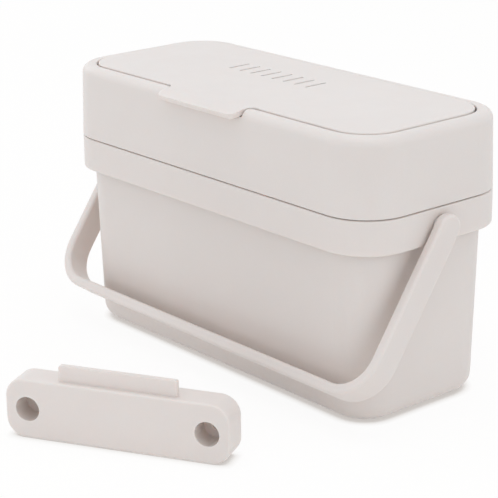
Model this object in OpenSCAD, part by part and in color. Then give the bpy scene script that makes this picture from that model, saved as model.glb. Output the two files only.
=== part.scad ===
// Worktop compost caddy: a tapered bucket with a bail handle, a lift-off top frame with a flush hinged
// lid that holds an odour filter, and the wall bracket that the bucket hooks on.
// The origin is the middle of the bucket's base. +X runs along the long side, -Y is the front.

/* [Bucket] */
// Length of the bucket across its skirt
bucket_w = 290; // [260:1:360]
// Depth of the bucket across its skirt
bucket_d = 124.2; // [110:0.1:170]
// Corner radius of the skirt, seen from above
corner_r = 31.1; // [24:0.1:36]
// Corner radius of the wall just under the skirt
body_corner_r = 26.5; // [20:0.1:32]
// Height of the skirt's lower edge
skirt_z = 108; // [90:1:150]
// Height of the skirt's top shelf, where the frame sits
rim_z = 129.3; // [118:0.1:180]
// How far the skirt stands out from the wall
overhang = 6.6; // [5.5:0.1:9]
// How far each wall leans in between the skirt and the base
wall_taper = 3.2; // [1:0.1:6]
// Wall thickness of the mouldings
wall = 2.4; // [1.8:0.1:3]
// Thickness of the base
base_t = 2.8; // [2:0.1:4]
// Radius of the rounded edge round the base
base_fillet = 11.3; // [6:0.1:14]
// Height of the lip that stands up inside the frame
lip_h = 5; // [3:0.5:8]
// Radius of the skirt's lower edge
skirt_edge_r = 1; // [0.4:0.1:1.2]
// Spacing of the stiffening webs inside the skirt
web_pitch = 40; // [30:1:60]
// Thickness of a stiffening web
web_t = 1.6; // [1:0.1:2.4]

/* [Top frame] */
// Height of the finished top
top_z = 177.2; // [165:0.1:230]
// Lean of the frame's sides from the seam to the top
frame_taper = 1.1; // [0.5:0.1:3]
// Radius of the frame's rounded top edge
frame_fillet = 5.5; // [3:0.1:6]
// Open shadow gap between skirt and frame
seam_gap = 0.8; // [0.5:0.1:1.4]
// Height at which the frame's locating edge clears the shelf
seat_gap = 0.3; // [0.2:0.05:0.5]
// Width of the rim, from the frame's foot line to the lid opening
rim_w = 9.3; // [8.5:0.1:12]
// Corner radius of the lid opening
opening_r = 25.1; // [20:0.1:26]
// Radius of the edge between the rim's top and the lid opening
rim_edge_r = 0.9; // [0.2:0.1:1]
// Room under the lid's rear edge when it swings down into the well
swing_room = 1.5; // [0.6:0.1:3]
// Width of the ledge that the lid rests on
ledge_w = 4.5; // [3:0.1:6]
// Distance from the well's wall to the liner skirt's outer face
liner_step = 2.1; // [1.5:0.1:3]
// How far the liner skirt may reach down past the rim shelf
liner_drop = 8; // [4:0.5:14]
// Width of the notch in the front rim
notch_w = 76.8; // [60:0.1:120]
// Radius of the notch's corners
notch_r = 4.5; // [2:0.1:6]
// Clearance under the tab in the notch
notch_gap = 0.3; // [0.2:0.1:0.8]

/* [Lid] */
// Thickness of the lid panel
lid_t = 3.2; // [2.8:0.1:4]
// Gap between the lid and the rim
lid_gap = 1.2; // [0.8:0.1:1.5]
// Height of the lid's top above the rim
lid_rise = 0.6; // [0:0.1:1]
// Gap between the lid and its ledge
lid_seat_gap = 0.3; // [0.2:0.1:0.5]
// Radius of the lid's top edge
lid_edge_r = 0.9; // [0.4:0.1:1.2]
// How far the tab stands out past the frame's foot line
tab_reach = 5.4; // [3:0.1:10]
// How far the tab's tip drops below the top
tab_drop = 2.9; // [1:0.1:4]
// Length of the bent part of the tab
tab_bend = 15.5; // [10:0.1:15.8]
// Radius of the tab's corners, seen from above
tab_corner_r = 6; // [2:0.1:8]
// Height of the stiffening rib under the lid
rib_h = 3; // [2:0.1:5]

/* [Lid hinge] */
// Distance from the lid's rear edge to the hinge line
hinge_inset = 21.4; // [19:0.1:23]
// Depth of the hinge line below the top
hinge_drop = 2.4; // [2.2:0.1:2.8]
// Radius of the hinge pins
pin_r = 1.25; // [1:0.05:1.3]
// Length of a hinge pin
pin_len = 20; // [14:0.5:26]
// Depth of a pin's socket in the frame
socket_l = 5; // [3:0.1:5.2]
// Radial running clearance of the lid and handle pivots
run_gap = 0.06; // [0.02:0.01:0.1]
// Radial clearance of the pins in the lid
grip_gap = 0.02; // [0.01:0.01:0.03]
// Radius of the bosses under the lid that hold the pins
knuckle_r = 2.8; // [2.6:0.1:2.9]
// Length of a boss
knuckle_l = 12; // [8:1:14]
// Angle at which the lid meets its stops
open_angle = 100; // [92:1:105]
// How far a stop stands out from the well's wall
stop_reach = 10.2; // [8:0.1:11]
// Wall round a pin's socket in the frame
socket_wall = 3; // [2:0.1:4]

/* [Vents and filter] */
// Number of vent slots
vent_count = 8; // [3:1:9]
// Distance from one vent slot to the next
vent_pitch = 10.55; // [8:0.05:11]
// Length of a vent slot
vent_len = 17.6; // [8:0.1:30]
// Width of a vent slot
vent_w = 1.7; // [1:0.1:3]
// Centre of the vents and of the filter, along X
filter_x = -15.2; // [-40:0.1:40]
// Centre of the vents and of the filter, along Y
filter_y = 13.6; // [0:0.1:16]
// Length of the filter pad
pad_w = 94; // [80:1:110]
// Depth of the filter pad
pad_d = 44; // [36:1:50]
// Thickness of the filter pad
pad_t = 4.4; // [3:0.1:5]
// Wall of the filter tray and of its housing
tray_wall = 1.6; // [1.2:0.1:2]
// Clearance round the pad and round the tray
tray_gap = 0.4; // [0.3:0.05:0.6]
// Number of grille slots in the tray's floor
grille_count = 15; // [6:1:18]
// Width of a grille slot
grille_w = 3; // [2:0.1:4]
// Radius of the tray's trunnions
trunnion_r = 1.5; // [1:0.1:1.8]
// Radius of the posts that hold the housing under the lid
post_r = 1.5; // [1:0.1:2]

/* [Handle] */
// Gap between the skirt's ends and the handle's arms
arm_gap = 1.6; // [0.8:0.1:4]
// Thickness of the handle's band
band_t = 6.5; // [4.4:0.1:8]
// Width of the handle's band
band_w = 17.4; // [14:0.1:21]
// Radius of the band's edges
band_edge_r = 2; // [0.8:0.1:2.2]
// Inner radius of the handle's two corners
bend_r = 21.5; // [12:0.5:30]
// Distance from the pivot to the far side of the bar
handle_reach = 114.9; // [100:0.1:135]
// Height of the handle's pivot
pivot_z = 117.5; // [116:0.1:140]
// Place of the handle's pivot along Y
pivot_y = -0.4; // [-5:0.1:5]
// Radius of the handle's pivot pins
pivot_r = 5; // [3:0.1:6]
// Gap between the bar and the bucket's front when the handle hangs
rest_gap = 2.8; // [0.2:0.1:5]
// Gap at each end of the pivot, between handle and bucket
end_gap = 0.3; // [0.2:0.1:0.5]

/* [Wall bracket] */
// Length of the bracket
bracket_w = 139.8; // [120:0.1:160]
// Height of the bracket
bracket_h = 36.5; // [30:0.1:44]
// Thickness of the bracket
bracket_t = 18; // [14:0.1:24]
// Corner radius of the bracket
bracket_r = 11.7; // [8:0.1:15]
// Radius of the bracket's front edge
bracket_edge_r = 1.3; // [0.6:0.1:2]
// Distance between the two screw holes
screw_span = 112; // [90:0.5:118]
// Radius of a screw's shank hole
screw_r = 2.4; // [1.8:0.1:3]
// Radius of the recess for a screw's head
screw_head_r = 7.5; // [5:0.1:8]
// Thickness left under a screw's head
screw_floor = 4; // [3:0.1:6]
// Length of the hooking tab
hook_w = 73.7; // [50:0.1:90]
// Height of the hooking tab above the bracket
hook_h = 9.9; // [6:0.1:14]
// Thickness of the hooking tab
hook_t = 3; // [2:0.1:3.4]
// Distance from the bracket's front to the hooking tab
hook_setback = 4.1; // [3:0.1:5]
// Clearance between the bracket and the bucket when it hangs
hang_gap = 0.5; // [0.3:0.1:1]
// Place of the bracket's foot along X
bracket_x = 60.6; // [-80:0.1:80]
// Place of the bracket's foot along Y
bracket_y = -176.2; // [-220:0.1:-150]
// Turn of the bracket about the vertical
bracket_turn = 29.5; // [0:0.5:45]

/* [Hidden] */
$fn = 96;
stone = [0.86, 0.84, 0.82];
steel = [0.75, 0.76, 0.78];
carbon = [0.13, 0.13, 0.14];
// A little more than a cut needs, so that it runs clean through
over = 1;

// Bucket: half sizes of the skirt, and of the wall where it meets the skirt's lower edge
half_w = bucket_w / 2;
half_d = bucket_d / 2;
body_hw = half_w - overhang;
body_hd = half_d - overhang;
// Slope of the wall, sideways per unit of height, and its angle
slope = wall_taper / skirt_z;
lean = atan(slope);
lip_z = rim_z + lip_h;
shelf_in = overhang + 2 / 3 * wall;
webs_x = floor((half_w - corner_r) / web_pitch);

// Recess for the bracket in the bucket's back: the tab hooks up behind the skirt
hook_back_y = half_d - wall - hang_gap / 2;
recess_y = hook_back_y - hook_t - hook_setback - hang_gap;
recess_hw = bracket_w / 2 + hang_gap * 2;
recess_z0 = skirt_z - bracket_h - hang_gap * 2;
recess_z1 = skirt_z + hook_h + hang_gap * 2;

// Frame
frame_z = rim_z + seat_gap;
opening_hw = half_w - rim_w;
opening_hd = half_d - rim_w;
// Outer faces of the well's wall
well_hw = opening_hw + wall;
well_hd = opening_hd + wall;
well_r = opening_r + wall;
roof_t = wall;
lid_z = top_z + lid_rise - lid_t;
ledge_z = lid_z - lid_seat_gap;
ledge_t = 2;
liner_hw = opening_hw - liner_step;
liner_hd = opening_hd - liner_step;
liner_r = opening_r - liner_step;
// The liner skirt ends above the bracket's recess, which bulges inwards
liner_z = max(rim_z - liner_drop, recess_z1 + wall + hang_gap);

// Lid and its hinge line
lid_hw = opening_hw - lid_gap;
lid_hd = opening_hd - lid_gap;
lid_r = opening_r - lid_gap;
lid_top_z = lid_z + lid_t;
hinge_y = lid_hd - hinge_inset;
hinge_z = top_z - hinge_drop;
// The bosses end just inside the lid's edge, which curves in behind the hinge line
knuckle_back = max(0, hinge_y + knuckle_r - lid_hd + lid_r);
knuckle_x = lid_hw - lid_r + sqrt(pow(lid_r, 2) - pow(knuckle_back, 2)) - end_gap;
pin_x = opening_hw + socket_l;
// Grooves under the lid let the pins slide in from the inside
groove_x = pin_x - 2 * pin_len - end_gap;
// The ledge stops here, so that the lid's rear can swing down behind the hinge line
ledge_end_y = hinge_y - 2 * knuckle_r;
rib_hw = opening_hw - ledge_w - lid_gap;
rib_hd = opening_hd - ledge_w - lid_gap;
rib_r = opening_r - ledge_w;
rib_t = 1.6;
rib_z = lid_z - rib_h;
// The well is deep enough for the strip of lid behind the hinge line
swing_r = sqrt(pow(hinge_inset, 2) + pow(lid_top_z - hinge_z, 2));
well_z = hinge_z - swing_r - swing_room;
// The lid's rib meets the stops' rear faces here, where its rear corner crosses their inner ends
stop_x = opening_hw - stop_reach;
stop_back = rib_hd - rib_r - hinge_y + sqrt(pow(rib_r, 2) - pow(stop_x - rib_hw + rib_r, 2));
stop_y = hinge_y + stop_back * cos(open_angle) + (rib_z - hinge_z) * sin(open_angle) - end_gap;

// Tab: the bend is an arc that starts level and drops by tab_drop over tab_bend
tab_w = notch_w - 2 * lid_gap;
tab_tip_y = half_d + tab_reach;
tab_bend_r = (pow(tab_bend, 2) + pow(tab_drop, 2)) / (2 * tab_drop);
tab_bend_a = asin(tab_bend / tab_bend_r);
tab_bend_y = tab_tip_y - tab_bend;
tab_root_r = notch_r + lid_gap;
// The notch's floor clears the tab's underside at the rim's outer edge
tab_under_r = tab_bend_r - lid_t;
notch_z = lid_top_z - tab_bend_r + sqrt(pow(tab_under_r, 2) - pow(half_d - tab_bend_y, 2)) - notch_gap;

// Filter: the tray lies in the housing, which hangs under the lid
tray_w = pad_w + 2 * (tray_gap + tray_wall);
tray_d = pad_d + 2 * (tray_gap + tray_wall);
tray_h = pad_t + tray_wall + tray_gap;
housing_t = tray_wall;
housing_hw = tray_w / 2 + tray_gap + tray_wall;
housing_hd = tray_d / 2 + tray_gap + tray_wall;
// Underside of the housing's flange
flange_z = lid_z - housing_t;
tray_top_z = flange_z - tray_gap;
tray_z = tray_top_z - tray_h;
floor_top_z = tray_z + tray_wall;
pad_z = floor_top_z + tray_gap / 2;
trunnion_y = filter_y + tray_d / 2 - tray_wall - trunnion_r;
trunnion_z = tray_z + tray_h / 2;
// How far below the trunnions' line the cheeks reach
cheek_z = trunnion_z - trunnion_r - tray_wall;
flange_w = 7;
post_x = housing_hw + flange_w / 2;
post_y = housing_hd - flange_w;
grille_pitch = pad_w / grille_count;
grille_x = filter_x - (grille_count - 1) / 2 * grille_pitch;
finger_w = 22;
finger_l = 5;

// Handle: its arms stand outside the skirt, and it leans forward until the inner edge of its bar is
// near the bucket's front wall
arm_x = half_w + arm_gap;
arm_mid_x = arm_x + band_t / 2;
arm_l = handle_reach - band_t - bend_r;
bar_in = handle_reach - band_t + band_edge_r;
bar_back = band_w / 2 - band_edge_r;
lean_m = bar_in + bar_back * slope;
lean_n = bar_in * slope - bar_back;
front_foot = body_hd - wall_taper;
lean_k = pivot_y + front_foot + pivot_z * slope + (band_edge_r + rest_gap) / cos(lean);
handle_lean = asin(lean_k / sqrt(pow(lean_m, 2) + pow(lean_n, 2))) - atan2(lean_n, lean_m);
pivot_in_x = body_hw + wall * 0.6;
pivot_boss_r = min(pivot_z - skirt_z, rim_z - pivot_z) - skirt_edge_r;
shoulder_r = pivot_r + band_edge_r;

// Outline made of a rectangle with four round corners, centred
module rounded(hw, hd, r) {
    square([2 * hw, 2 * (hd - r)], center = true);
    square([2 * (hw - r), 2 * hd], center = true);
    for (sx = [-1, 1], sy = [-1, 1])
        translate([sx * (hw - r), sy * (hd - r)])
            circle(r);
}

// Straight-sided block on that outline
module block(hw, hd, r, z0, z1) {
    translate([0, 0, z0])
        linear_extrude(z1 - z0)
            rounded(hw, hd, r);
}

// Sweeps an outline round a rectangle with round corners. The outline's x is measured from the
// corners' centres, so x = r is the place where the half sizes are hw and hd.
module around(hw, hd, r) {
    cx = hw - r;
    cy = hd - r;
    for (q = [0 : 3])
        translate([q == 0 || q == 3 ? cx : -cx, q < 2 ? cy : -cy, 0])
            rotate([0, 0, 90 * q])
                rotate_extrude(angle = 90)
                    children();
    for (q = [0 : 3])
        rotate([0, 0, 90 * q])
            translate([q % 2 == 0 ? cx : cy, q % 2 == 0 ? cy : cx, 0])
                rotate([90, 0, 0])
                    linear_extrude(2 * (q % 2 == 0 ? cy : cx))
                        children();
}

// The same sweep with its middle filled in, for outlines that start at x = 0
module solid_around(hw, hd, r, z0, z1) {
    around(hw, hd, r)
        children();
    translate([r - hw, r - hd, z0])
        cube([2 * (hw - r), 2 * (hd - r), z1 - z0]);
}

// Ring between two such outlines with straight sides
module ring(hw, hd, r, t, z0, z1) {
    around(hw, hd, r)
        translate([r - t, z0])
            square([t, z1 - z0]);
}

// Outline of a leaning wall that stands on a rounded foot: r is its radius at the height at_z
module leaning_outline(r, at_z, foot_z, fillet, end_z) {
    foot_r = r - (at_z - foot_z) * slope;
    cx = foot_r + fillet * slope - fillet / cos(lean);
    polygon([
        [0, foot_z],
        [cx, foot_z],
        [cx, foot_z + fillet],
        [cx + fillet * cos(lean), foot_z + fillet - fillet * sin(lean)],
        [r + (end_z - at_z) * slope, end_z],
        [0, end_z]
    ]);
    translate([cx, foot_z + fillet])
        circle(fillet);
}

// Outline of a slab, r wide and h high, with rounded outer edges
module slab_outline(r, h, top_r, foot_r) {
    translate([0, foot_r])
        square([r, h - top_r - foot_r]);
    square([r - foot_r, h / 2]);
    translate([0, h / 2])
        square([r - top_r, h / 2]);
    translate([r - foot_r, foot_r])
        circle(foot_r);
    translate([r - top_r, h - top_r])
        circle(top_r);
}

// Straight slot with round ends, along Y
module slot(len, w) {
    square([w, len - w], center = true);
    for (s = [-1, 1])
        translate([0, s * (len - w) / 2])
            circle(w / 2);
}

// Cylinder along X, from x0 to x1
module rod(x0, x1, y, z, r) {
    translate([x0, y, z])
        rotate([0, 90, 0])
            cylinder(h = x1 - x0, r = r);
}

// ---- bucket ----

module bucket_body() {
    solid_around(body_hw, body_hd, body_corner_r, 0, lip_z)
        leaning_outline(body_corner_r, skirt_z, 0, base_fillet, lip_z);
}

module bucket_hollow() {
    solid_around(body_hw - wall, body_hd - wall, body_corner_r - wall, base_t, lip_z + over)
        leaning_outline(body_corner_r - wall, skirt_z, base_t, base_fillet - wall, lip_z + over);
}

// Shelf and skirt round the bucket, open from below
module skirt() {
    around(half_w, half_d, corner_r) {
        translate([corner_r - wall, skirt_z + skirt_edge_r])
            square([wall, rim_z - skirt_z - 2 * skirt_edge_r]);
        translate([corner_r - wall, skirt_z])
            square([wall - skirt_edge_r, wall]);
        translate([corner_r - skirt_edge_r, skirt_z + skirt_edge_r])
            circle(skirt_edge_r);
        translate([corner_r - shelf_in, rim_z - wall])
            square([shelf_in - skirt_edge_r, wall]);
        translate([corner_r - skirt_edge_r, rim_z - skirt_edge_r])
            circle(skirt_edge_r);
    }
}

// Webs between wall and skirt, along the front and the back, clear of the bracket's tab
module skirt_webs() {
    web_h = rim_z - skirt_z - 3 * wall;
    for (i = [-webs_x : webs_x], s = [-1, 1])
        if (s < 0 || abs(i * web_pitch) > recess_hw + web_t)
            translate([i * web_pitch - web_t / 2, s > 0 ? body_hd : -half_d + wall / 2, 0])
                translate([0, 0, rim_z - web_h - wall / 2])
                    cube([web_t, overhang - wall / 2, web_h]);
}

// Socket for a handle pin, between the skirt's end and the wall
module pivot_boss() {
    rod(body_hw - wall / 2, half_w - wall / 2, pivot_y, pivot_z, pivot_boss_r);
}

// Shallow place in the back that takes the bracket, with its lower corners as round as the bracket's
module bracket_recess(grow) {
    r = bracket_r + hang_gap + grow;
    translate([0, half_d, (recess_z0 + recess_z1) / 2])
        rotate([90, 0, 0])
            linear_extrude(half_d - recess_y + grow)
                rounded(recess_hw + grow, (recess_z1 - recess_z0) / 2 + grow, r);
}

module bucket() {
    color(stone)
        difference() {
            union() {
                difference() {
                    bucket_body();
                    bracket_recess(0);
                }
                skirt();
                skirt_webs();
                for (side = [0, 1])
                    mirror([side, 0, 0])
                        pivot_boss();
            }
            difference() {
                bucket_hollow();
                bracket_recess(wall);
            }
            for (side = [0, 1])
                mirror([side, 0, 0])
                    rod(pivot_in_x, half_w + over, pivot_y, pivot_z, pivot_r + run_gap);
        }
}

// ---- handle ----

// Section of the band: thickness along x, width along y
module band_section() {
    rounded(band_t / 2, band_w / 2, band_edge_r);
}

// One arm, from the pivot down, with its round end and its pin
module handle_arm() {
    translate([arm_mid_x, 0, -arm_l])
        linear_extrude(arm_l)
            band_section();
    // Round end: the band's section turned about the pivot
    translate([arm_mid_x, 0, 0])
        rotate([0, 90, 0])
            rotate([0, 0, 90])
                rotate_extrude(angle = 180)
                    intersection() {
                        rotate([0, 0, 90])
                            band_section();
                        translate([0, -band_t])
                            square([band_w, 2 * band_t]);
                    }
    // Corner into the bar
    translate([arm_x - bend_r, 0, -arm_l])
        rotate([-90, 0, 0])
            rotate_extrude(angle = 90)
                translate([bend_r + band_t / 2, 0])
                    band_section();
    // Spacer and pin
    rod(half_w + end_gap, arm_x + band_edge_r, 0, 0, shoulder_r);
    rod(pivot_in_x + end_gap, arm_x + band_edge_r, 0, 0, pivot_r);
}

module handle() {
    color(stone)
        translate([0, pivot_y, pivot_z])
            rotate([-handle_lean, 0, 0]) {
                for (side = [0, 1])
                    mirror([side, 0, 0])
                        handle_arm();
                translate([bend_r - arm_x, 0, band_t / 2 - handle_reach])
                    rotate([0, 90, 0])
                        linear_extrude(2 * (arm_x - bend_r))
                            band_section();
            }
}

// ---- top frame ----

// Outer form of the frame or, set in by a wall, of its hollow
module frame_form(inset, z0, roof_z, fillet) {
    rise = top_z - frame_fillet - rim_z;
    r0 = corner_r - inset;
    r1 = r0 - frame_taper;
    solid_around(half_w - inset, half_d - inset, r0, z0, roof_z) {
        polygon([
            [0, z0],
            [r0 - frame_taper * (z0 - rim_z) / rise, z0],
            [r1, roof_z - fillet],
            [r1 - fillet, roof_z - fillet],
            [r1 - fillet, roof_z],
            [0, roof_z]
        ]);
        translate([r1 - fillet, roof_z - fillet])
            circle(fillet);
    }
}

// Shadow line at the frame's foot: the outer half of the edge stands higher
module seam_groove() {
    around(half_w, half_d, corner_r)
        translate([corner_r - wall / 2, rim_z - over])
            square([wall, over + seam_gap]);
}

// Notch in the front rim, with round corners where it meets the lid opening. The outline grows by
// grow on its sides, and reaches past the opening's edge by past.
module notch_outline(grow, past) {
    translate([-notch_w / 2 - grow, -half_d - over])
        square([notch_w + 2 * grow, rim_w + over + past]);
    for (side = [0, 1])
        mirror([side, 0])
            translate([notch_w / 2, -opening_hd - notch_r])
                difference() {
                    translate([-over, 0])
                        square([notch_r + over, notch_r + past]);
                    translate([notch_r, 0])
                        circle(notch_r - grow);
                }
}

module rim_notch() {
    translate([0, 0, notch_z])
        linear_extrude(top_z - notch_z + over)
            notch_outline(0, notch_r);
}

// Floor and side walls that close the rim under and beside the notch
module notch_pan() {
    intersection() {
        frame_form(wall / 2, frame_z, top_z - roof_t / 2, frame_fillet - wall / 2);
        translate([0, 0, notch_z - wall])
            linear_extrude(top_z - notch_z + wall)
                notch_outline(wall, 0);
    }
}

// Rounded edge where the rim's top meets the opening
module rim_edge() {
    around(opening_hw, opening_hd, opening_r)
        translate([opening_r, top_z - rim_edge_r])
            difference() {
                translate([-over, 0])
                    square([rim_edge_r + over, rim_edge_r + over]);
                translate([rim_edge_r, 0])
                    circle(rim_edge_r);
            }
}

// Socket for one hinge pin in the side of the rim
module hinge_socket() {
    socket_x = opening_hw - over;
    socket_r = pin_r + socket_wall;
    intersection() {
        frame_form(wall / 2, frame_z, top_z - roof_t / 2, frame_fillet - wall / 2);
        union() {
            rod(socket_x, half_w, hinge_y, hinge_z, socket_r);
            translate([socket_x, hinge_y - socket_r, hinge_z])
                cube([half_w - socket_x, 2 * socket_r, hinge_drop]);
        }
    }
}

// Web in the well that stops the open lid
module lid_stop() {
    translate([stop_x, stop_y - wall, well_z - wall / 2])
        cube([stop_reach + wall / 2, wall, rib_z - lid_seat_gap - well_z + wall / 2]);
}

module ledge() {
    difference() {
        ring(well_hw - wall / 2, well_hd - wall / 2, well_r - wall / 2,
            ledge_w + wall / 2, ledge_z - ledge_t, ledge_z);
        translate([-half_w, ledge_end_y, ledge_z - ledge_t - over])
            cube([2 * half_w, half_d, ledge_t + 2 * over]);
    }
}

module top_frame() {
    color(stone)
        difference() {
            union() {
                difference() {
                    frame_form(0, frame_z, top_z, frame_fillet);
                    frame_form(wall, frame_z - over, top_z - roof_t, frame_fillet - wall);
                }
                // Wall of the well, its floor, and the skirt that hides the liner
                ring(well_hw, well_hd, well_r, wall, well_z - wall, top_z - roof_t / 2);
                ring(well_hw, well_hd, well_r, 2 * wall + liner_step, well_z - wall, well_z);
                ring(liner_hw, liner_hd, liner_r, wall, liner_z, well_z - wall / 2);
                for (side = [0, 1])
                    mirror([side, 0, 0])
                        hinge_socket();
                notch_pan();
            }
            seam_groove();
            block(opening_hw, opening_hd, opening_r, well_z, top_z + over);
            rim_notch();
            rim_edge();
            for (side = [0, 1])
                mirror([side, 0, 0])
                    rod(opening_hw - 2 * over, pin_x + end_gap, hinge_y, hinge_z, pin_r + run_gap);
        }
    color(stone) {
        ledge();
        for (side = [0, 1])
            mirror([side, 0, 0])
                lid_stop();
    }
}

// ---- lid ----

// The tab seen from above, with round corners and hollow curves where it joins the panel
module tab_outline() {
    translate([-tab_w / 2, tab_corner_r - tab_tip_y])
        square([tab_w, tab_tip_y - tab_corner_r - lid_hd + lid_r]);
    translate([tab_corner_r - tab_w / 2, -tab_tip_y])
        square([tab_w - 2 * tab_corner_r, tab_corner_r + over]);
    for (s = [-1, 1])
        translate([s * (tab_w / 2 - tab_corner_r), tab_corner_r - tab_tip_y])
            circle(tab_corner_r);
    for (side = [0, 1])
        mirror([side, 0])
            translate([tab_w / 2, -lid_hd - tab_root_r])
                difference() {
                    translate([-over, 0])
                        square([tab_root_r + over, tab_root_r + over]);
                    translate([tab_root_r, 0])
                        circle(tab_root_r);
                }
}

// Finger tab, level with the panel and then bent down over the front
module tab() {
    tab_hw = tab_w / 2 + tab_root_r + over;
    intersection() {
        translate([0, 0, lid_z - tab_drop - over])
            linear_extrude(lid_t + tab_drop + 2 * over)
                tab_outline();
        translate([-tab_hw, 0, 0])
            rotate([90, 0, 90])
                linear_extrude(2 * tab_hw) {
                    translate([-tab_bend_y, lid_z])
                        square([tab_bend_y - lid_hd + lid_r, lid_t]);
                    translate([-tab_bend_y, lid_top_z - tab_bend_r])
                        difference() {
                            intersection() {
                                circle(tab_bend_r);
                                polygon([
                                    [0, 0],
                                    [0, 2 * tab_bend_r],
                                    [-2 * tab_bend_r * tan(tab_bend_a), 2 * tab_bend_r]
                                ]);
                            }
                            circle(tab_under_r);
                        }
                }
    }
}

module vents() {
    for (i = [0 : vent_count - 1])
        translate([filter_x + (i - (vent_count - 1) / 2) * vent_pitch, filter_y, lid_z - over])
            linear_extrude(lid_t + 2 * over)
                slot(vent_len, vent_w);
}

// Places of the four posts that hold the filter's housing
module at_posts() {
    for (sx = [-1, 1], sy = [-1, 1])
        translate([filter_x + sx * post_x, filter_y + sy * post_y, 0])
            children();
}

module lid() {
    color(stone)
        difference() {
            union() {
                translate([0, 0, lid_z])
                    solid_around(lid_hw, lid_hd, lid_r, 0, lid_t)
                        slab_outline(lid_r, lid_t, lid_edge_r, 0.01);
                tab();
                ring(rib_hw, rib_hd, rib_r, rib_t, rib_z, lid_z + over);
                for (side = [0, 1])
                    mirror([side, 0, 0])
                        rod(knuckle_x - knuckle_l, knuckle_x, hinge_y, hinge_z, knuckle_r);
                at_posts()
                    translate([0, 0, lid_z - housing_t - post_r / 2])
                        cylinder(h = housing_t + post_r, r = post_r);
            }
            vents();
            for (side = [0, 1])
                mirror([side, 0, 0])
                    rod(groove_x, knuckle_x + over, hinge_y, hinge_z, pin_r + grip_gap);
        }
}

module hinge_pin(side) {
    color(steel)
        mirror([side < 0 ? 1 : 0, 0, 0])
            rod(pin_x - pin_len, pin_x, hinge_y, hinge_z, pin_r);
}

module hinge_pin_left() {
    hinge_pin(-1);
}

module hinge_pin_right() {
    hinge_pin(1);
}

// ---- filter ----

// Flange under the lid with two cheeks, a front wall and the tray's pivot holes
module filter_housing() {
    color(stone)
        difference() {
            union() {
                translate([filter_x, filter_y, 0]) {
                    block(housing_hw + flange_w, housing_hd, flange_w / 2, flange_z, lid_z);
                    for (s = [-1, 1])
                        translate([s * (housing_hw - tray_wall / 2) - tray_wall / 2, -housing_hd, cheek_z])
                            cube([tray_wall, 2 * housing_hd, lid_z - cheek_z]);
                    translate([-housing_hw, -housing_hd, cheek_z])
                        cube([2 * housing_hw, tray_wall, lid_z - cheek_z]);
                }
            }
            // Window that lets the air through from the vents
            translate([filter_x, filter_y, 0])
                block(pad_w / 2 - flange_w, pad_d / 2 - flange_w / 2, flange_w / 2,
                    flange_z - over, lid_z + over);
            // Open rear, where the tray's edge rises as it swings down
            translate([filter_x - tray_w / 2 - tray_gap, trunnion_y - flange_w / 2, flange_z - over])
                cube([tray_w + 2 * tray_gap, flange_w + tray_wall * 2, housing_t + 2 * over]);
            // Cut-out for the finger grip
            translate([filter_x - finger_w / 2 - tray_gap, filter_y - housing_hd - over, cheek_z - over])
                cube([finger_w + 2 * tray_gap, tray_wall + 2 * over,
                    floor_top_z + tray_gap - cheek_z + over]);
            translate([filter_x, 0, 0])
                rod(-housing_hw - over, housing_hw + over, trunnion_y, trunnion_z, trunnion_r + run_gap);
            at_posts()
                translate([0, 0, flange_z - over])
                    cylinder(h = housing_t + 2 * over, r = post_r + run_gap);
        }
}

// Open tray with a slotted floor, two trunnions and a finger grip
module filter_tray() {
    color(stone)
        difference() {
            union() {
                translate([filter_x, filter_y, 0])
                    block(tray_w / 2, tray_d / 2, 2 * tray_wall, tray_z, tray_top_z);
                rod(filter_x - housing_hw, filter_x + housing_hw, trunnion_y, trunnion_z, trunnion_r);
                translate([filter_x - finger_w / 2, filter_y - tray_d / 2 - finger_l, tray_z])
                    cube([finger_w, finger_l + tray_wall, tray_wall]);
            }
            translate([filter_x, filter_y, 0])
                block(tray_w / 2 - tray_wall, tray_d / 2 - tray_wall, tray_wall,
                    floor_top_z, tray_top_z + over);
            for (i = [0 : grille_count - 1])
                translate([grille_x + i * grille_pitch, filter_y, tray_z - over])
                    linear_extrude(tray_wall + 2 * over)
                        slot(pad_d - 2 * tray_wall, grille_w);
        }
}

module filter_pad() {
    color(carbon)
        translate([filter_x, filter_y, 0])
            block(pad_w / 2, pad_d / 2, tray_wall, pad_z, pad_z + pad_t);
}

// ---- wall bracket ----

// Plate on the bracket's outline, standing up, with its front at y = 0
module upright() {
    translate([0, 0, bracket_h / 2])
        rotate([90, 0, 0])
            children();
}

module bracket_shell() {
    // The outline's foot is the bracket's back, and its top edge the rounded front
    upright()
        translate([0, 0, -bracket_t])
            solid_around(bracket_w / 2, bracket_h / 2, bracket_r, 0, bracket_t)
                slab_outline(bracket_r, bracket_t, bracket_edge_r, 0.01);
}

// The hollow back, with the screw towers and the webs left standing
module bracket_hollow() {
    difference() {
        upright()
            translate([0, 0, -bracket_t - over])
                block(bracket_w / 2 - wall, bracket_h / 2 - wall, bracket_r - wall,
                    0, bracket_t + over - wall);
        for (s = [-1, 1])
            upright()
                translate([s * screw_span / 2, 0, -bracket_t - 2 * over])
                    cylinder(h = bracket_t + 2 * over, r = screw_head_r + wall);
        for (s = [-1, 0, 1])
            translate([s * screw_span / 4 - web_t / 2, 0, 0])
                cube([web_t, bracket_t, bracket_h]);
        translate([-screw_span / 2, 0, bracket_h / 2 - web_t / 2])
            cube([screw_span, bracket_t, web_t]);
    }
}

module hook() {
    translate([0, hook_setback + hook_t, bracket_h - wall / 2])
        rotate([90, 0, 0])
            linear_extrude(hook_t)
                translate([0, (hook_h + wall / 2) / 2])
                    rounded(hook_w / 2, (hook_h + wall / 2) / 2, 1.5);
}

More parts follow.
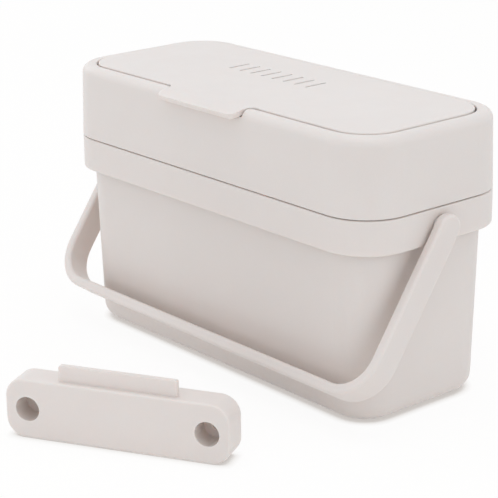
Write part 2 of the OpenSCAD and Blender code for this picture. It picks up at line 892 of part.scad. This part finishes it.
module wall_bracket() {
    color(stone)
        translate([bracket_x, bracket_y, 0])
            rotate([0, 0, bracket_turn])
                difference() {
                    union() {
                        difference() {
                            bracket_shell();
                            bracket_hollow();
                        }
                        hook();
                    }
                    for (s = [-1, 1])
                        upright()
                            translate([s * screw_span / 2, 0, 0]) {
                                translate([0, 0, screw_floor - bracket_t])
                                    cylinder(h = bracket_t, r = screw_head_r);
                                translate([0, 0, -bracket_t - over])
                                    cylinder(h = bracket_t, r = screw_r);
                            }
                }
}

bucket();
handle();
top_frame();
lid();
hinge_pin_left();
hinge_pin_right();
filter_housing();
filter_tray();
filter_pad();
wall_bracket();
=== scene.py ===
import math

import bmesh
import bpy
from mathutils import Matrix, Vector

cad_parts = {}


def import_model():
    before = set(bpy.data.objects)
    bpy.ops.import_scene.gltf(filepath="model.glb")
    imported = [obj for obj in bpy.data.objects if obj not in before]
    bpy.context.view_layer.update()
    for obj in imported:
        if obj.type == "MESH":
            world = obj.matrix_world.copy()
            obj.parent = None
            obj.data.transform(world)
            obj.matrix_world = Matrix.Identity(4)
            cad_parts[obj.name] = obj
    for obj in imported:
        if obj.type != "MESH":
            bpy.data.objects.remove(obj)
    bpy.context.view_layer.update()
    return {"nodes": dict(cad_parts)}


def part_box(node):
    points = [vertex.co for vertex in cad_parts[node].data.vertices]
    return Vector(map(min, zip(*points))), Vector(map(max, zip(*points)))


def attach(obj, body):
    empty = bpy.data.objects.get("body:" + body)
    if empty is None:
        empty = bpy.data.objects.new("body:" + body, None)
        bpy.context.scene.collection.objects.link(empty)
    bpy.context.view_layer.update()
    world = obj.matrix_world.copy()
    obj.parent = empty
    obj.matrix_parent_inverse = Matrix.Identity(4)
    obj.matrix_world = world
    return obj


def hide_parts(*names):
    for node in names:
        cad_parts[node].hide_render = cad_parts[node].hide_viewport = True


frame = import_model()
scene = bpy.context.scene
NODES = frame["nodes"]


# ---- node helpers ----

# Nearly all values of a noise texture lie between these two
NOISE_LOW = 0.3
NOISE_HIGH = 0.7
# Rays that a bevel node spends on a point
BEVEL_SAMPLES = 6


def new_material(name):
    """An empty node material, its tree and its output."""
    mat = bpy.data.materials.new(name)
    mat.use_nodes = True
    tree = mat.node_tree
    tree.nodes.clear()
    out = tree.nodes.new("ShaderNodeOutputMaterial")
    return mat, tree, out


def link(tree, a, b):
    tree.links.new(a, b)


def noise(tree, coord, scale, detail=3.0, rough=0.5):
    """Noise, 0 to 1. On metres, a scale of 1000 makes lumps of about 1 mm."""
    n = tree.nodes.new("ShaderNodeTexNoise")
    n.inputs["Scale"].default_value = scale
    n.inputs["Detail"].default_value = detail
    n.inputs["Roughness"].default_value = rough
    link(tree, coord, n.inputs["Vector"])
    return n.outputs["Fac"]


def ramp(tree, fac, stops):
    """Colour ramp through stops, each a place and a colour."""
    r = tree.nodes.new("ShaderNodeValToRGB")
    while len(r.color_ramp.elements) < len(stops):
        r.color_ramp.elements.new(0.5)
    for e, (pos, col) in zip(r.color_ramp.elements, stops):
        e.position = pos
        e.color = (*col, 1.0)
    link(tree, fac, r.inputs["Fac"])
    return r.outputs["Color"]


def map_range(tree, value, lo, hi, start=NOISE_LOW, end=NOISE_HIGH):
    """Turns start..end, as a rule the span that noise keeps to, into lo..hi."""
    m = tree.nodes.new("ShaderNodeMapRange")
    m.inputs["From Min"].default_value = start
    m.inputs["From Max"].default_value = end
    m.inputs["To Min"].default_value = lo
    m.inputs["To Max"].default_value = hi
    link(tree, value, m.inputs["Value"])
    return m.outputs["Result"]


def bump(tree, height, strength, distance, normal=None):
    """Normal of a surface whose height swings by distance, in metres, on top of normal."""
    b = tree.nodes.new("ShaderNodeBump")
    b.inputs["Strength"].default_value = strength
    b.inputs["Distance"].default_value = distance
    link(tree, height, b.inputs["Height"])
    if normal is not None:
        link(tree, normal, b.inputs["Normal"])
    return b.outputs["Normal"]


def math_node(tree, operation, a, b=None, clamp=False):
    """One Math node, on sockets or plain numbers."""
    m = tree.nodes.new("ShaderNodeMath")
    m.operation = operation
    m.use_clamp = clamp
    for i, v in enumerate((a, b)):
        if v is None:
            continue
        if isinstance(v, float):
            m.inputs[i].default_value = v
        else:
            link(tree, v, m.inputs[i])
    return m.outputs[0]


def rgba_mix(tree, fac, a, b, blend="MIX"):
    """Mix of two colours, each a socket or a plain colour."""
    m = tree.nodes.new("ShaderNodeMix")
    m.data_type = "RGBA"
    m.blend_type = blend
    # The node lists its sockets of all types: 6, 7 and output 2 are the RGBA ones
    for socket, v in ((m.inputs[0], fac), (m.inputs[6], a), (m.inputs[7], b)):
        if isinstance(v, tuple):
            socket.default_value = (*v, 1.0)
        else:
            link(tree, v, socket)
    return m.outputs[2]


def mapped(tree, coord, scale):
    """Coordinates stretched by a scale for each axis."""
    m = tree.nodes.new("ShaderNodeMapping")
    m.inputs["Scale"].default_value = scale
    link(tree, coord, m.inputs["Vector"])
    return m.outputs["Vector"]


def soft_normal(tree, radius):
    """The normal, with edges rounded by radius."""
    bev = tree.nodes.new("ShaderNodeBevel")
    bev.samples = BEVEL_SAMPLES
    bev.inputs["Radius"].default_value = radius
    return bev.outputs["Normal"]


def edge_mask(tree, radius, edge, flat):
    """0 on flats to 1 along edges, by the cosine between the rounded normal and the face's."""
    geo = tree.nodes.new("ShaderNodeNewGeometry")
    dot = tree.nodes.new("ShaderNodeVectorMath")
    dot.operation = "DOT_PRODUCT"
    link(tree, soft_normal(tree, radius), dot.inputs[0])
    link(tree, geo.outputs["Normal"], dot.inputs[1])
    return map_range(tree, dot.outputs["Value"], 0.0, 1.0, start=flat, end=edge)


# ---- materials ----

# The plastic's two cloud tones, and the lighter tone painted along its edges as a highlight
DARK = (0.746, 0.707, 0.692)
LIGHT = (0.762, 0.723, 0.708)
EDGE_HIGHLIGHT = (0.850, 0.824, 0.806)
SPECK_TONE = tuple(0.9 * c for c in DARK)
# Light that goes from wall to wall in a gap takes up the plastic's warm tone
BOUNCE_TINT = (1.0, 0.92, 0.86)
# Noise scales
CLOUD_SCALE = 14.0
SPECK_SCALE = 900.0
HIGHLIGHT_WEAR_SCALE = 110.0
GLOSS_SCALE = 60.0
WAVE_SCALE = 9.0
SPARK_SCALE = 1700.0
# Most that a speck shows
SPECK_SHARE = 0.10
# Width in metres of the polished edges with their painted highlight, cosines for edge_mask, and the least
# highlight and polish along an edge
HIGHLIGHT_WEAR_RADIUS = 0.0016
EDGE_COSINE = 0.80
FLAT_COSINE = 0.995
LEAST_HIGHLIGHT_WEAR = 0.25
# How much of the painted highlight tone an edge takes, and how much smoother it is
HIGHLIGHT_SHARE = 0.6
WEAR_POLISH = 0.12
# Strength and height of the slow waves, and height of the sparked texture, in metres
WAVE_STRENGTH = 0.10
WAVE_HEIGHT = 0.002
SPARK_HEIGHT = 0.00008
# Light under the surface: its share, its reach in metres, and the reach of red, green and blue in it
SCATTER_SHARE = 0.4
SCATTER_REACH = 0.0032
SCATTER_COLOURS = (1.0, 0.76, 0.66)


def plastic(name, rough=(0.41, 0.51), spark=0.35, soft_edge=0.0006):
    """Moulded plastic: cloudy tone, a fine sparked texture, polished along its edges and lighter there as a
    painted highlight.
    """
    mat, tree, out = new_material(name)
    co = tree.nodes.new("ShaderNodeTexCoord").outputs["Object"]
    p = tree.nodes.new("ShaderNodeBsdfPrincipled")
    clouds = noise(tree, co, CLOUD_SCALE, detail=4.0, rough=0.55)
    tone = ramp(tree, clouds, [(NOISE_LOW, DARK), (NOISE_HIGH, LIGHT)])
    speck = noise(tree, co, SPECK_SCALE, detail=2.0)
    tone = rgba_mix(tree, map_range(tree, speck, 0.0, SPECK_SHARE), tone, SPECK_TONE)
    edge = edge_mask(tree, HIGHLIGHT_WEAR_RADIUS, EDGE_COSINE, FLAT_COSINE)
    patchy = map_range(tree, noise(tree, co, HIGHLIGHT_WEAR_SCALE, rough=0.6), LEAST_HIGHLIGHT_WEAR, 1.0)
    highlight_and_wear = math_node(tree, "MULTIPLY", edge, patchy, clamp=True)
    # Painted highlight: the colour lightens patchily along the edges, where rounded edges would catch the
    # light; the same mask makes them smoother below
    tone = rgba_mix(tree, math_node(tree, "MULTIPLY", highlight_and_wear, HIGHLIGHT_SHARE), tone, EDGE_HIGHLIGHT)
    bounce = tree.nodes.new("ShaderNodeLightPath").outputs["Is Diffuse Ray"]
    tone = rgba_mix(tree, bounce, tone, BOUNCE_TINT, blend="MULTIPLY")
    link(tree, tone, p.inputs["Base Color"])
    r = map_range(tree, noise(tree, co, GLOSS_SCALE, detail=4.0, rough=0.6), *rough)
    r = math_node(tree, "SUBTRACT", r, math_node(tree, "MULTIPLY", highlight_and_wear, WEAR_POLISH))
    link(tree, r, p.inputs["Roughness"])
    p.inputs["Specular IOR Level"].default_value = 0.5
    p.inputs["Subsurface Weight"].default_value = SCATTER_SHARE
    p.inputs["Subsurface Radius"].default_value = SCATTER_COLOURS
    p.inputs["Subsurface Scale"].default_value = SCATTER_REACH
    waves = noise(tree, co, WAVE_SCALE, detail=1.0, rough=0.4)
    swell = bump(tree, waves, WAVE_STRENGTH, WAVE_HEIGHT, soft_normal(tree, soft_edge))
    sparks = noise(tree, co, SPARK_SCALE, detail=2.0, rough=0.6)
    fine = bump(tree, sparks, spark, SPARK_HEIGHT, swell)
    link(tree, fine, p.inputs["Normal"])
    link(tree, p.outputs[0], out.inputs["Surface"])
    return mat


# Stretch of the steel's lines, which lie along X
LINE_STRETCH = (60.0, 5200.0, 5200.0)
LINE_HEIGHT = 0.00003
STEEL_TONES = [(NOISE_LOW, (0.52, 0.53, 0.55)), (NOISE_HIGH, (0.70, 0.71, 0.73))]
BLOTCH_SCALE = 420.0
BLOTCH_SHARE = 0.3
BLOTCH_TONE = (0.46, 0.46, 0.47)


def drawn_steel(name):
    """Drawn wire: fine lines along the pins, which lie along X."""
    mat, tree, out = new_material(name)
    co = tree.nodes.new("ShaderNodeTexCoord").outputs["Object"]
    p = tree.nodes.new("ShaderNodeBsdfPrincipled")
    lines = noise(tree, mapped(tree, co, LINE_STRETCH), 1.0, rough=0.6)
    blotch = noise(tree, co, BLOTCH_SCALE)
    tone = ramp(tree, lines, STEEL_TONES)
    tone = rgba_mix(tree, map_range(tree, blotch, 0.0, BLOTCH_SHARE), tone, BLOTCH_TONE)
    link(tree, tone, p.inputs["Base Color"])
    p.inputs["Metallic"].default_value = 1.0
    link(tree, map_range(tree, lines, 0.22, 0.38), p.inputs["Roughness"])
    link(tree, bump(tree, lines, 0.25, LINE_HEIGHT), p.inputs["Normal"])
    link(tree, p.outputs[0], out.inputs["Surface"])
    return mat


# Scale of the noise that bends the fibres, how far they wander in metres, and their stretch each way
BEND_SCALE = 260.0
FIBRE_BEND = 0.004
FIBRE_STRETCH = ((500.0, 2600.0, 1500.0), (2600.0, 500.0, 1500.0))
FELT_TONES = [
    (0.42, (0.010, 0.010, 0.011)),
    (0.56, (0.030, 0.030, 0.032)),
    (0.70, (0.085, 0.085, 0.09)),
]
GRAIN_SCALE = 900.0
# Distances from a grain's middle, in its cell, at which it ends and at which it is full
GRAIN_END = 0.30
GRAIN_FULL = 0.12
GRAIN_TONE = (0.016, 0.016, 0.018)
FELT_HEIGHT = 0.0003


def carbon_felt(name):
    """Open felt: tangled fibres with carbon grains between them."""
    mat, tree, out = new_material(name)
    co = tree.nodes.new("ShaderNodeTexCoord").outputs["Object"]
    p = tree.nodes.new("ShaderNodeBsdfPrincipled")
    bent = tree.nodes.new("ShaderNodeTexNoise")
    bent.inputs["Scale"].default_value = BEND_SCALE
    bent.inputs["Detail"].default_value = 2.0
    link(tree, co, bent.inputs["Vector"])
    push = tree.nodes.new("ShaderNodeVectorMath")
    push.operation = "MULTIPLY_ADD"
    push.inputs[1].default_value = (FIBRE_BEND,) * 3
    link(tree, bent.outputs["Color"], push.inputs[0])
    link(tree, co, push.inputs[2])
    ways = [
        noise(tree, mapped(tree, push.outputs["Vector"], stretch), 1.0, rough=0.7)
        for stretch in FIBRE_STRETCH
    ]
    fibre = math_node(tree, "MAXIMUM", *ways)
    tone = ramp(tree, fibre, FELT_TONES)
    grains = tree.nodes.new("ShaderNodeTexVoronoi")
    grains.inputs["Scale"].default_value = GRAIN_SCALE
    link(tree, co, grains.inputs["Vector"])
    grain = map_range(tree, grains.outputs["Distance"], 0.0, 1.0, start=GRAIN_END, end=GRAIN_FULL)
    link(tree, rgba_mix(tree, grain, tone, GRAIN_TONE), p.inputs["Base Color"])
    rough = map_range(tree, grain, 0.95, 0.55, start=0.0, end=1.0)
    link(tree, rough, p.inputs["Roughness"])
    p.inputs["Sheen Weight"].default_value = 0.25
    p.inputs["Sheen Roughness"].default_value = 0.5
    height = math_node(tree, "ADD", fibre, grain)
    link(tree, bump(tree, height, 0.7, FELT_HEIGHT), p.inputs["Normal"])
    link(tree, p.outputs[0], out.inputs["Surface"])
    return mat


STONE = plastic("stone_plastic")
SMOOTH = plastic("stone_smooth_side", rough=(0.36, 0.46), spark=0.12, soft_edge=0.0003)
STEEL = drawn_steel("drawn_steel")
FELT = carbon_felt("carbon_felt")
FINISH = {
    "hinge_pin_left": STEEL,
    "hinge_pin_right": STEEL,
    "filter_housing": SMOOTH,
    "filter_tray": SMOOTH,
}

for name, node in NODES.items():
    node.data.materials.clear()
    node.data.materials.append(FINISH.get(name, STONE))
    for poly in node.data.polygons:
        poly.use_smooth = True


# ---- carbon pad ----

# Steps across the pad's length and depth, how they bunch towards the rim, and the corners' radius
PAD_STEPS = (96, 46)
PAD_BUNCHING = 1.35
PAD_CORNER = 0.0028
# Shares of the half thickness: all of it, the rim, the width of its fall, the crown and the lumps
PAD_FULLNESS = 0.98
RIM_THICKNESS = 0.35
RIM_FALL = 0.9
CROWN_RISE = 0.14
LUMP_HEIGHT = 0.02
# How far the ends and the long sides pull in between the corners, as shares of the half size
PULL_X = 0.006
PULL_Y = 0.012


def felt_pad():
    """The filter's felt: a crowned slab with soft edges and a lightly lumpy face."""
    lo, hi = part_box("filter_pad")
    cx, cy, cz = ((a + b) / 2 for a, b in zip(lo, hi))
    hx, hy, hz = ((b - a) / 2 for a, b in zip(lo, hi))
    nx, ny = PAD_STEPS
    bm = bmesh.new()

    def height(u, v):
        """Half thickness over the pad's plan, u and v from -1 to 1: full inside, falling off at the rim."""
        edge = min((1 - abs(u)) * hx, (1 - abs(v)) * hy) / (RIM_FALL * hz)
        rim = math.sqrt(max(0.0, 1 - (1 - min(edge, 1.0)) ** 2))
        crown = 1 - CROWN_RISE + CROWN_RISE * (1 - u ** 4) * (1 - v ** 4)
        lumps = LUMP_HEIGHT * math.sin(23 * u + 3 * v) * math.sin(17 * v - 5 * u)
        return hz * (RIM_THICKNESS + (1 - RIM_THICKNESS) * rim) * (crown + lumps * rim) * PAD_FULLNESS

    def plan(u, v):
        """Sides pull in a little between the corners, and the corners are round."""
        pull_x = 1 - PULL_X * (1 - v * v)
        pull_y = 1 - PULL_Y * (1 - u * u)
        x, y = u * hx * pull_x, v * hy * pull_y
        r = PAD_CORNER
        ex, ey = abs(x) - (hx - r), abs(y) - (hy - r)
        if ex > 0 and ey > 0:
            d = math.hypot(ex, ey)
            if d > r:
                x = math.copysign(hx - r + ex * r / d, x)
                y = math.copysign(hy - r + ey * r / d, y)
        return cx + x, cy + y

    def spread(i, n):
        """Steps bunched towards the rim."""
        t = 2 * i / n - 1
        return math.copysign(1 - (1 - abs(t)) ** PAD_BUNCHING, t)

    grid = {}
    for side in (1, -1):
        for i in range(nx + 1):
            for j in range(ny + 1):
                u, v = spread(i, nx), spread(j, ny)
                x, y = plan(u, v)
                grid[side, i, j] = bm.verts.new((x, y, cz + side * height(u, v)))
    for side in (1, -1):
        for i in range(nx):
            for j in range(ny):
                corners = ((i, j), (i + 1, j), (i + 1, j + 1), (i, j + 1))
                loop = [grid[side, a, b] for a, b in corners]
                bm.faces.new(loop if side > 0 else loop[::-1])
    ring = [(i, 0) for i in range(nx)] + [(nx, j) for j in range(ny)]
    ring += [(i, ny) for i in range(nx, 0, -1)] + [(0, j) for j in range(ny, 0, -1)]
    for (a, b), (c, d) in zip(ring, ring[1:] + ring[:1]):
        bm.faces.new([grid[1, a, b], grid[-1, a, b], grid[-1, c, d], grid[1, c, d]])
    bmesh.ops.recalc_face_normals(bm, faces=bm.faces)
    me = bpy.data.meshes.new("carbon_pad")
    bm.to_mesh(me)
    bm.free()
    ob = bpy.data.objects.new("carbon_pad", me)
    scene.collection.objects.link(ob)
    for poly in me.polygons:
        poly.use_smooth = True
    me.materials.append(FELT)
    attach(ob, "tray_body")
    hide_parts("filter_pad")


felt_pad()


# ---- floor, light and camera ----

# Share of its own white in what the background's rays see of the floor; the rest is lit, with its shadows
FLOOR_WHITE = 0.92
FLOOR_TONE = (0.985, 0.965, 0.945)
FLOOR_SIDE = 6.0
# Reach in metres, and tones by openness, of the floor's contact shadow
CONTACT_REACH = 0.006
CONTACT_SAMPLES = 12
CONTACT_TONES = [
    (0.30, (0.60, 0.565, 0.54)),
    (0.50, (0.86, 0.845, 0.83)),
    (0.75, (0.95, 0.945, 0.94)),
    (1.00, (1.0, 1.0, 1.0)),
]


def background_rays(tree):
    """1 for the rays that see the background itself: the camera's, and those off metal or through glass."""
    path = tree.nodes.new("ShaderNodeLightPath")
    seen = math_node(tree, "MAXIMUM", path.outputs["Is Camera Ray"], path.outputs["Is Glossy Ray"])
    return math_node(tree, "MAXIMUM", seen, path.outputs["Is Transmission Ray"])


def floor():
    """Plain pale floor: white to the background's rays, with the object's shadow and contact shadow."""
    bm = bmesh.new()
    signs = ((-1, -1), (1, -1), (1, 1), (-1, 1))
    bm.faces.new([bm.verts.new((x * FLOOR_SIDE, y * FLOOR_SIDE, 0.0)) for x, y in signs])
    me = bpy.data.meshes.new("floor")
    bm.to_mesh(me)
    bm.free()
    ob = bpy.data.objects.new("floor", me)
    scene.collection.objects.link(ob)
    mat, tree, out = new_material("studio_floor")
    d = tree.nodes.new("ShaderNodeBsdfDiffuse")
    d.inputs["Color"].default_value = (*FLOOR_TONE, 1)
    ao = tree.nodes.new("ShaderNodeAmbientOcclusion")
    ao.samples = CONTACT_SAMPLES
    ao.inputs["Distance"].default_value = CONTACT_REACH
    e = tree.nodes.new("ShaderNodeEmission")
    e.inputs["Strength"].default_value = 1.0
    seen = tree.nodes.new("ShaderNodeLightPath").outputs["Is Camera Ray"]
    contact = ramp(tree, ao.outputs["AO"], CONTACT_TONES)
    link(tree, rgba_mix(tree, seen, (1.0, 1.0, 1.0), contact), e.inputs["Color"])
    mix = tree.nodes.new("ShaderNodeMixShader")
    link(tree, math_node(tree, "MULTIPLY", background_rays(tree), FLOOR_WHITE), mix.inputs["Fac"])
    link(tree, d.outputs[0], mix.inputs[1])
    link(tree, e.outputs[0], mix.inputs[2])
    link(tree, mix.outputs[0], out.inputs["Surface"])
    ob.data.materials.append(mat)


# Strength of the world's light; 1 is white
SOFT_LIGHT = 0.675


def background(tree, strength):
    """White background shader."""
    node = tree.nodes.new("ShaderNodeBackground")
    node.inputs["Color"].default_value = (1, 1, 1, 1)
    node.inputs["Strength"].default_value = strength
    return node.outputs[0]


def world():
    """Even soft light, and white to the background's rays."""
    w = bpy.data.worlds.new("studio")
    scene.world = w
    w.use_nodes = True
    tree = w.node_tree
    tree.nodes.clear()
    out = tree.nodes.new("ShaderNodeOutputWorld")
    mix = tree.nodes.new("ShaderNodeMixShader")
    link(tree, background_rays(tree), mix.inputs["Fac"])
    link(tree, background(tree, SOFT_LIGHT), mix.inputs[1])
    link(tree, background(tree, 1.0), mix.inputs[2])
    link(tree, mix.outputs[0], out.inputs["Surface"])


# Name, place, size and watts of each lamp
AIM = Vector((0, 0, 0.1))
LAMPS = [
    ("top", (0.0, 0.0, 2.0), (1.6, 1.6), 10.9),
    ("front", (-0.3, -1.5, 0.28), (1.8, 0.5), 3.1),
    ("right", (1.9, 0.2, 0.7), (1.4, 1.2), 4.8),
    ("left", (-1.9, 0.0, 0.8), (1.4, 1.2), 4.1),
]


def area_light(name, pos, size, watts):
    """Rectangular lamp that points at AIM."""
    data = bpy.data.lights.new(name, "AREA")
    data.shape = "RECTANGLE"
    data.size, data.size_y = size
    data.energy = watts
    ob = bpy.data.objects.new(name, data)
    scene.collection.objects.link(ob)
    ob.location = pos
    ob.rotation_euler = (AIM - Vector(pos)).to_track_quat("-Z", "Y").to_euler()


# The photograph's camera: width and focal length in pixels, place in metres, angles in degrees
IMAGE_WIDTH = 498.0
FOCAL_PIXELS = 1828.5
CAMERA_PLACE = (0.8451, -0.7356, 0.4403)
AZIMUTH, ELEVATION, ROLL = 49.90, 18.38, -0.672


def camera():
    """The photograph's view."""
    data = bpy.data.cameras.new("photo_camera")
    data.sensor_width = 36.0
    data.lens = FOCAL_PIXELS * data.sensor_width / IMAGE_WIDTH
    data.clip_start = 0.05
    data.clip_end = 30.0
    ob = bpy.data.objects.new("photo_camera", data)
    scene.collection.objects.link(ob)
    a, e, roll = (math.radians(angle) for angle in (AZIMUTH, ELEVATION, ROLL))
    back = Vector((math.sin(a) * math.cos(e), -math.cos(a) * math.cos(e), math.sin(e)))
    right = Vector((math.cos(a), math.sin(a), 0.0))
    up = back.cross(right)
    rolled_right = math.cos(roll) * right + math.sin(roll) * up
    rolled_up = -math.sin(roll) * right + math.cos(roll) * up
    m = Matrix((rolled_right, rolled_up, back)).transposed().to_4x4()
    m.translation = Vector(CAMERA_PLACE)
    ob.matrix_world = m
    scene.camera = ob


scene.view_settings.view_transform = "Standard"
floor()
world()
for lamp in LAMPS:
    area_light(*lamp)
camera()
